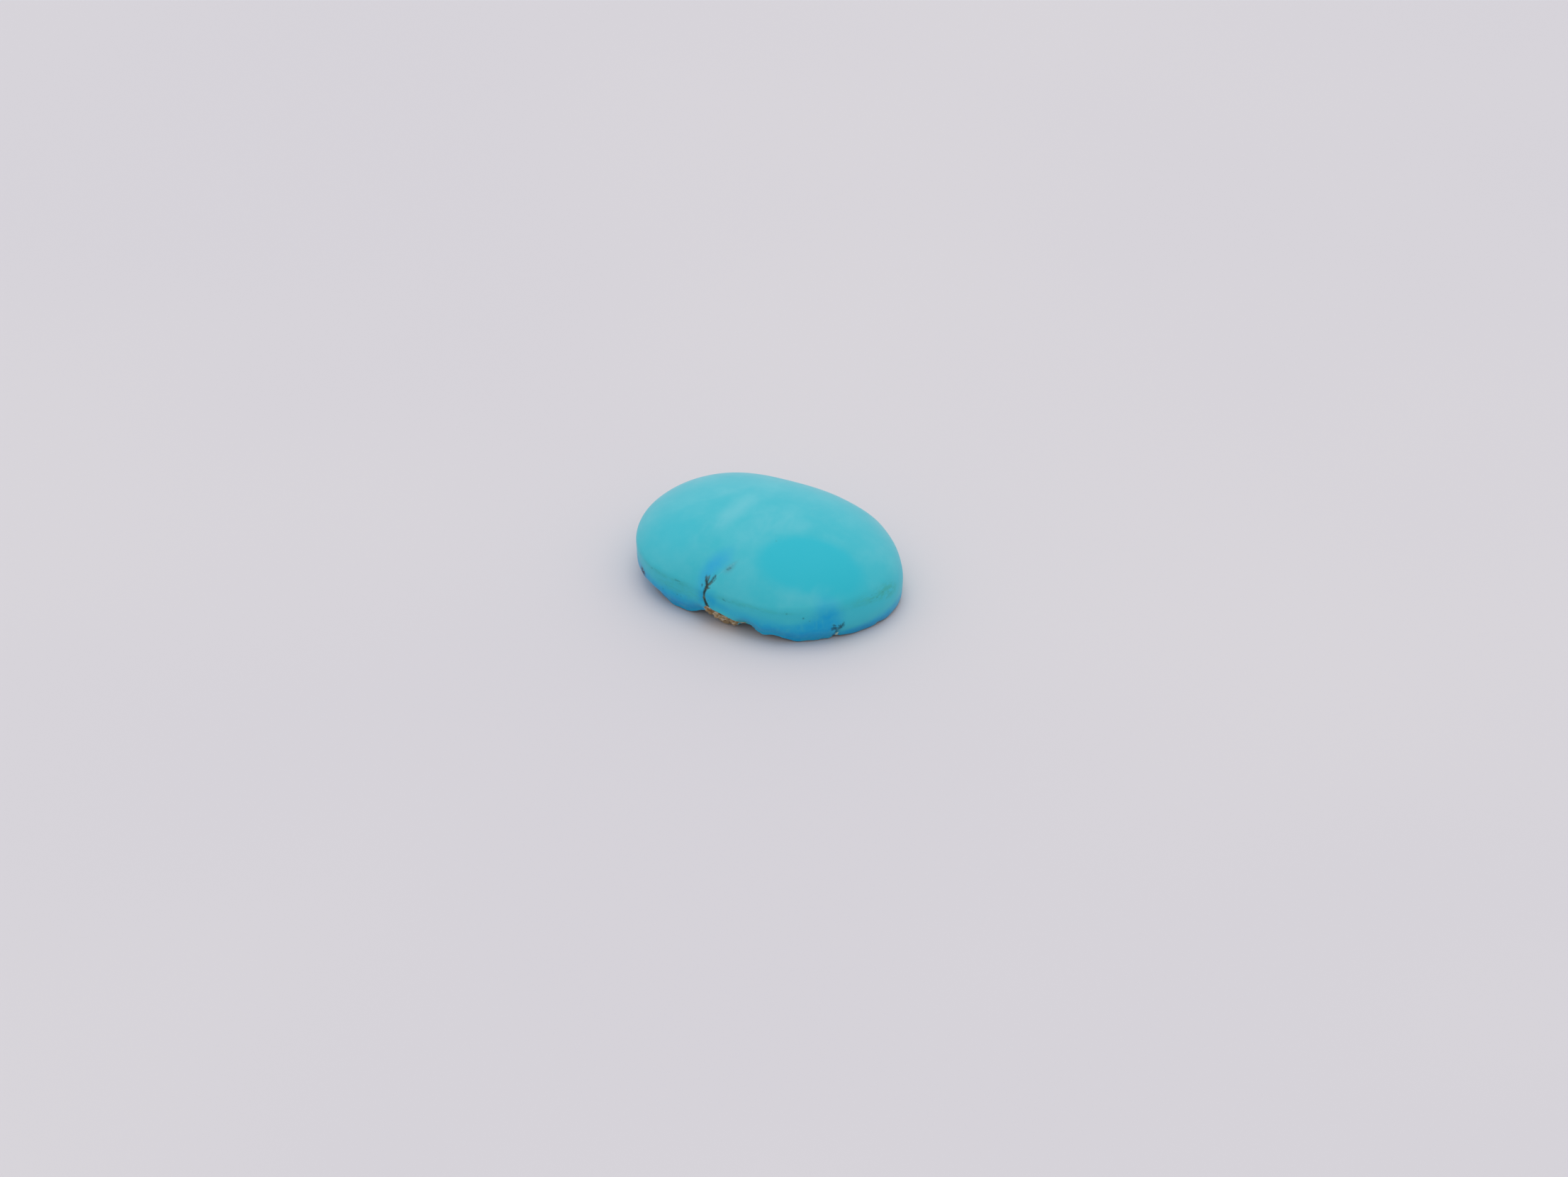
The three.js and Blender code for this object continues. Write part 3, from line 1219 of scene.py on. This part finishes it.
    def lay(self, under: Feed, *layers: Layer) -> Socket:
        """Lay layers over a colour, in their order.

        Args:
            under: The colour or socket below them.
            layers: The layers.

        Returns:
            The colour's socket.
        """
        for layer in layers:
            shares = [self.cloud(layer.pattern)] if layer.pattern else []
            if layer.border:
                shares += [self.inside(mark, layer.border) for mark in layer.marks]
            else:
                shares += [self.read(mark) for mark in layer.marks]
            under = self.tint(self.times(*shares, layer.share), under, layer.colour)
        return under

    def relief(self, grain: FineRelief, *masks: Feed) -> Socket:
        """Give a fine relief's height in millimetres, where its masks let it show."""
        clouds = self.noise(grain.spacing, grain.detail, grain.stretch)
        return self.times(clouds, *masks, grain.depth)

    def close(self, shader: str, end: str, inputs: dict[str, Feed]) -> None:
        """Close the board with its shader and its output.

        Args:
            shader: Blender's kind of the shader node.
            end: Blender's kind of the output node.
            inputs: The shader's inputs by name.
        """
        made = self.node(shader)
        for name, value in inputs.items():
            self.feed(made.inputs[name], value)
        self.feed(self.node(end).inputs["Surface"], made.outputs[0])

    def finished(self, inputs: dict[str, Feed]) -> bpy.types.Material:
        """Close a material's board and give the material.

        Args:
            inputs: The shader's inputs by name.

        Returns:
            The material.
        """
        self.close("ShaderNodeBsdfPrincipled", "ShaderNodeOutputMaterial", inputs)
        return self.owner


@dataclass(frozen=True)
class TurquoiseFinish:
    """The stone's finish: polished dome, ground band, vein, matrix and lapped back, with painted
    shade, highlights and reflections in part.
    """

    body: Colour = linear(42, 182, 199)
    paler: Colour = linear(72, 188, 203)
    broad_mottle: Pattern = Pattern(2.4, 0.4, 0.68)
    broad_share: float = 0.5
    fine_mottle: Pattern = Pattern(0.5, 0.42, 0.7)
    fine_share: float = 0.2
    band: Layer = Layer(linear(62, 191, 210), 0.75, (Mark.BAND,))
    # Painted shade in part: darkens the dome where it catches no reflection, over its deeper
    # colour.
    deep: Layer = Layer(linear(0, 181, 201), 0.95, (Mark.DEEP,))
    # Painted reflection in part: the pale streaks on the dome, over paler stone.
    pale: Layer = Layer(
        linear(108, 196, 209), 0.55, (Mark.PALE,), Pattern(1.3, 0.2, 0.72, 2.0, (0.8, 1.9, 1.0))
    )
    # Painted shade in part: the blue low on the band and on the lip darkens the lower edge, besides
    # the real blue zones.
    blue: Layer = Layer(
        linear(0, 160, 214), 1.0, (Mark.BLUE,), Pattern(0.45, 0.3, 0.66, least=0.75)
    )
    violet: Layer = Layer(linear(58, 134, 192), 0.6, (Mark.VIOLET,))
    blue_mottle: Layer = Layer(
        linear(72, 188, 203),
        0.3,
        (Mark.BLUE, Mark.BAND),
        Pattern(0.26, 0.48, 0.76, 2.0, (1.0, 1.0, 2.0)),
    )
    # Painted shade in part: the scuff and fleck layers darken the band under the crease and at the
    # pocket's end, besides wear.
    scuff_and_crease_shade: Layer = Layer(
        linear(56, 166, 154), 0.7, (Mark.GREEN,), Pattern(0.3, 0.3, 0.62, 3.0, (2.0, 2.0, 0.8))
    )
    fleck_and_crease_shade: Layer = Layer(
        linear(38, 112, 106), 0.4, (Mark.GREEN,), Pattern(0.1, 0.56, 0.7, 3.0, (2.4, 2.4, 0.8))
    )
    smoke: Layer = Layer(linear(74, 122, 134), 0.7, (Mark.SMOKE,))
    faint: Layer = Layer(linear(120, 196, 204), 0.45, (Mark.FAINT,), None, Border(0.02, 0.12, 0.1))
    stain: Layer = Layer(linear(52, 34, 62), 1.0, (Mark.STAIN,), Pattern(0.12, 0.28, 0.5))
    speck: Layer = Layer(linear(16, 76, 88), 0.8, (Mark.SPECK,), None, Border(0.03, 0.12, 0.13))
    # Dark host rock guessed for the unseen back; also painted on the lip and on the underside in
    # the gap, as shade under the lower edge.
    back: Colour = linear(48, 51, 47)
    back_share: float = 0.85
    back_fade: tuple[float, float] = (0.0, 0.15)
    vein: Colour = linear(36, 64, 66)
    vein_core: Layer = Layer(linear(86, 92, 68), pattern=Pattern(0.3, 0.46, 0.66, 2.0))
    vein_border: Border = Border(0.07, 0.16, 0.13)
    tuft: Layer = Layer(linear(16, 52, 60), 0.85, (Mark.TUFT,), None, Border(0.2, 0.1, 0.2))
    grain: Layer = Layer(linear(184, 208, 190), 1.0, (Mark.GRAIN,), None, Border(0.03, 0.1, 0.07))
    matrix: Colour = linear(134, 102, 64)
    matrix_light: Layer = Layer(linear(170, 146, 108), pattern=Pattern(0.34, 0.34, 0.66))
    matrix_dark: Layer = Layer(linear(78, 60, 42), pattern=Pattern(0.2, 0.54, 0.76, 2.0))
    fibres: Layer = Layer(
        linear(214, 206, 188), 0.5, (), Pattern(0.12, 0.5, 0.72, 2.0, (3.5, 1.0, 1.0))
    )
    # Painted highlight in part: the cream stroke on the pocket's upper rim, besides real cream
    # streaks.
    cream: Layer = Layer(linear(214, 206, 188), 1.0, (Mark.CREAM,), None, Border(0.04, 0.12, 0.09))
    matrix_border: Border = Border(0.06, 0.18, 0.04)
    back_patches: Pattern = Pattern(1.9, 0.57, 0.6, 4.0, rough=0.6)
    back_patches_fade: tuple[float, float] = (0.3, 0.8)
    dome_roughness: float = 0.34
    band_roughness: float = 0.42
    matrix_roughness: float = 0.85
    smear_spacing: float = 0.9
    smear_detail: float = 4.0
    smear: float = 0.16
    under_dulling: float = 0.8
    refraction: float = 1.61
    haze: Colour = linear(236, 222, 255)
    haze_share: float = 0.07
    haze_spread: float = 0.3
    dome_shine: float = 0.34
    band_shine: float = 0.15
    polish: FineRelief = FineRelief(0.3, 2.0, 0.0004)
    grinding: FineRelief = FineRelief(0.05, 3.0, 0.003, (5.0, 5.0, 0.8))
    crumbs: FineRelief = FineRelief(0.04, 4.0, 0.02)
    lapping: FineRelief = FineRelief(0.08, 3.0, 0.006, (6.0, 0.7, 1.0))

    def turquoise(self, board: NodeBoard) -> Socket:
        """Lay down the turquoise and its small marks.

        Args:
            board: The material's nodes.

        Returns:
            The colour's socket.
        """
        broad = board.times(board.cloud(self.broad_mottle), self.broad_share)
        fine = board.times(board.cloud(self.fine_mottle), self.fine_share)
        colour = board.tint(board.reckon("ADD", broad, fine), self.body, self.paler)
        # Deep paints shade, pale paints reflection streaks and blue paints shade low on the band,
        # each in part.
        colour = board.lay(colour, self.band, self.deep, self.pale, self.blue, self.violet)
        # The scuff and fleck layers paint shade under the crease, in part.
        colour = board.lay(colour, self.blue_mottle, self.scuff_and_crease_shade, self.fleck_and_crease_shade)
        return board.lay(colour, self.smoke, self.faint, self.stain, self.speck)

    def matrix_colour(self, board: NodeBoard) -> Socket:
        """Lay down the tan matrix."""
        return board.lay(self.matrix, self.matrix_light, self.matrix_dark, self.fibres, self.cream)

    def roughness(self, board: NodeBoard, side: Feed, dull: Feed) -> Socket:
        """Work out how rough the surface is.

        Args:
            board: The material's nodes.
            side: 1 on the ground band.
            dull: 1 where the stone isn't polished.

        Returns:
            The roughness's socket.
        """
        roughness = board.blend(side, self.dome_roughness, self.band_roughness)
        clouds = board.noise(self.smear_spacing, self.smear_detail)
        smear = board.times(board.reckon("SUBTRACT", clouds, board.noise_middle), self.smear)
        return board.blend(dull, board.reckon("ADD", roughness, smear), self.matrix_roughness)

    def normal(self, board: NodeBoard, side: Feed, matrix: Feed, under: Feed) -> Socket:
        """Add the relief that is finer than the mesh.

        Args:
            board: The material's nodes.
            side: 1 on the ground band.
            matrix: 1 on matrix.
            under: 1 on the underside.

        Returns:
            The normal's socket.
        """
        height = board.reckon(
            "ADD",
            board.relief(self.polish),
            board.relief(self.grinding, side),
            board.relief(self.crumbs, matrix),
            board.relief(self.lapping, under),
        )
        bump = board.node("ShaderNodeBump")
        bump.inputs["Strength"].default_value = 1.0
        bump.inputs["Distance"].default_value = MM
        board.feed(bump.inputs["Height"], height)
        return bump.outputs["Normal"]

    def make(self) -> bpy.types.Material:
        """Make the finish.

        Returns:
            The material.
        """
        board = NodeBoard(bpy.data.materials.new("polished turquoise"))
        under = board.read(Mark.UNDER)
        side = board.read(Mark.BAND)
        # Painted shade in part: the back's dark colour reaches onto the lip, a dark line under the
        # lower edge.
        behind = board.times(board.eased(under, *self.back_fade), self.back_share)
        colour = board.tint(behind, self.turquoise(board), self.back)
        vein = board.inside(Mark.VEIN, self.vein_border)
        colour = board.tint(vein, colour, board.lay(self.vein, self.vein_core))
        colour = board.lay(colour, self.tuft)
        matrix = board.times(board.inside(Mark.MATRIX, self.matrix_border), side)
        patches = board.cloud(self.back_patches)
        patches = board.times(patches, board.eased(under, *self.back_patches_fade))
        matrix = board.reckon("MAXIMUM", matrix, patches)
        colour = board.tint(matrix, colour, self.matrix_colour(board))
        colour = board.lay(colour, self.grain)
        dull = board.reckon("MAXIMUM", matrix, vein, board.times(under, self.under_dulling))
        return board.finished(
            {
                "Base Color": colour,
                "Roughness": self.roughness(board, side, dull),
                "Normal": self.normal(board, side, matrix, under),
                "IOR": self.refraction,
                "Sheen Weight": self.haze_share,
                "Sheen Roughness": self.haze_spread,
                "Sheen Tint": self.haze,
                "Specular IOR Level": board.blend(side, self.dome_shine, self.band_shine),
            }
        )


@dataclass(frozen=True)
class PhotoCamera:
    """The camera, where the photograph was taken from.

    Its distance and nearest view are metres. The sizes of its aim are millimetres.
    """

    azimuth: float = 28.0
    elevation: float = 36.0
    distance: float = 0.320
    lens: float = 125.15
    sensor: float = 36.0
    target_height: float = 2.45
    aim_right: float = 0.82
    aim_down: float = 2.58
    nearest: float = 0.01

    def build(self) -> None:
        """Add the camera and make it the scene's own."""
        turn, rise = math.radians(self.azimuth), math.radians(self.elevation)
        flat = math.cos(rise)
        back = Vector((math.sin(turn) * flat, -math.cos(turn) * flat, math.sin(rise)))
        right = Vector((math.cos(turn), math.sin(turn), 0.0))
        up = back.cross(right)
        target = Vector((0.0, 0.0, self.target_height * MM))
        aim = target + (right * self.aim_right - up * self.aim_down) * MM
        location = target + back * self.distance
        bpy.ops.object.camera_add(location=location)
        camera = bpy.context.active_object
        camera.name = "photo_camera"
        camera.rotation_euler = (aim - location).to_track_quat("-Z", "Y").to_euler()
        camera.data.lens = self.lens
        camera.data.sensor_width = self.sensor
        camera.data.clip_start = self.nearest
        bpy.context.scene.camera = camera


@dataclass(frozen=True)
class SoftLight:
    """One large soft lamp: where it hangs, its width and its power."""

    name: str
    place: Triple
    width: float
    power: float
    colour: Triple

    def build(self) -> None:
        """Add the lamp, turned to the stone, and keep its disk out of reflections."""
        bpy.ops.object.light_add(type="AREA", location=self.place)
        lamp = bpy.context.active_object
        lamp.name = self.name
        lamp.rotation_euler = (-Vector(self.place)).to_track_quat("-Z", "Y").to_euler()
        lamp.data.shape = "DISK"
        lamp.data.size = self.width
        lamp.data.energy = self.power
        lamp.data.color = self.colour
        lamp.visible_glossy = False


@dataclass(frozen=True)
class Studio:
    """The pale floor, the soft lamp and the surround, which is dimmer low in front."""

    floor_side: float = 3.0
    floor_colour: Colour = linear(210, 208, 213)
    floor_drift: Layer = Layer(linear(208, 206, 212), pattern=Pattern(60.0, 0.35, 0.65, 2.0))
    floor_roughness: float = 0.7
    floor_shine: float = 0.2
    surround_low: Colour = (0.55, 0.545, 0.54, 1.0)
    surround_high: Colour = (0.945, 0.935, 0.945, 1.0)
    surround_strength: float = 1.0
    rear_angle: float = 118.0
    rear_lean: float = 0.5
    surround_fade: tuple[float, float] = (-0.5, 1.0)
    lamps: tuple[SoftLight, ...] = (
        SoftLight("overhead_light", (-0.12, 0.12, 1.2), 1.0, 3.3, (1.0, 0.985, 0.97)),
    )

    def build_floor(self) -> None:
        """Add the plain flat floor."""
        bpy.ops.object.select_all(action="DESELECT")
        bpy.ops.mesh.primitive_plane_add(size=self.floor_side)
        floor = bpy.context.active_object
        floor.name = floor.data.name = "studio_floor"
        floor.data.materials.append(self.floor_finish())

    def floor_finish(self) -> bpy.types.Material:
        """Make the floor's matt finish.

        Returns:
            The material.
        """
        board = NodeBoard(bpy.data.materials.new("pale floor"))
        return board.finished(
            {
                "Base Color": board.lay(self.floor_colour, self.floor_drift),
                "Roughness": self.floor_roughness,
                "Specular IOR Level": self.floor_shine,
            }
        )

    def build_surround(self) -> None:
        """Make the surround, brighter overhead and a little brighter behind the stone."""
        world = bpy.data.worlds.new("pale surround")
        board = NodeBoard(world)
        turn, lean = math.radians(self.rear_angle), self.rear_lean
        facing = board.node("ShaderNodeVectorMath", operation="DOT_PRODUCT")
        board.feed(facing.inputs[0], board.where["Generated"])
        board.feed(facing.inputs[1], (math.cos(turn) * lean, math.sin(turn) * lean, 1.0))
        share = board.eased(facing.outputs["Value"], *self.surround_fade)
        colour = board.tint(share, self.surround_low, self.surround_high)
        inputs = {"Color": colour, "Strength": self.surround_strength}
        board.close("ShaderNodeBackground", "ShaderNodeOutputWorld", inputs)
        bpy.context.scene.world = world

    def build(self) -> None:
        """Set up the whole studio."""
        self.build_floor()
        self.build_surround()
        for lamp in self.lamps:
            lamp.build()
        bpy.context.scene.view_settings.view_transform = "Standard"


def dress(stone: bpy.types.Object) -> None:
    """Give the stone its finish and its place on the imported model.

    Args:
        stone: The finished piece.
    """
    stone.data.materials.clear()
    stone.data.materials.append(TurquoiseFinish().make())
    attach(stone, BODY)
    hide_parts(STONE_NODE)


def main() -> None:
    """Build the camera, the studio and the stone, and report the piece."""
    logging.basicConfig(level=logging.INFO, format="%(name)s: %(message)s")
    PhotoCamera().build()
    Studio().build()
    stone = Cabochon().build()
    dress(stone)
    log.info("%s: %d faces", stone.name, len(stone.data.polygons))


if __name__ == "__main__":
    main()
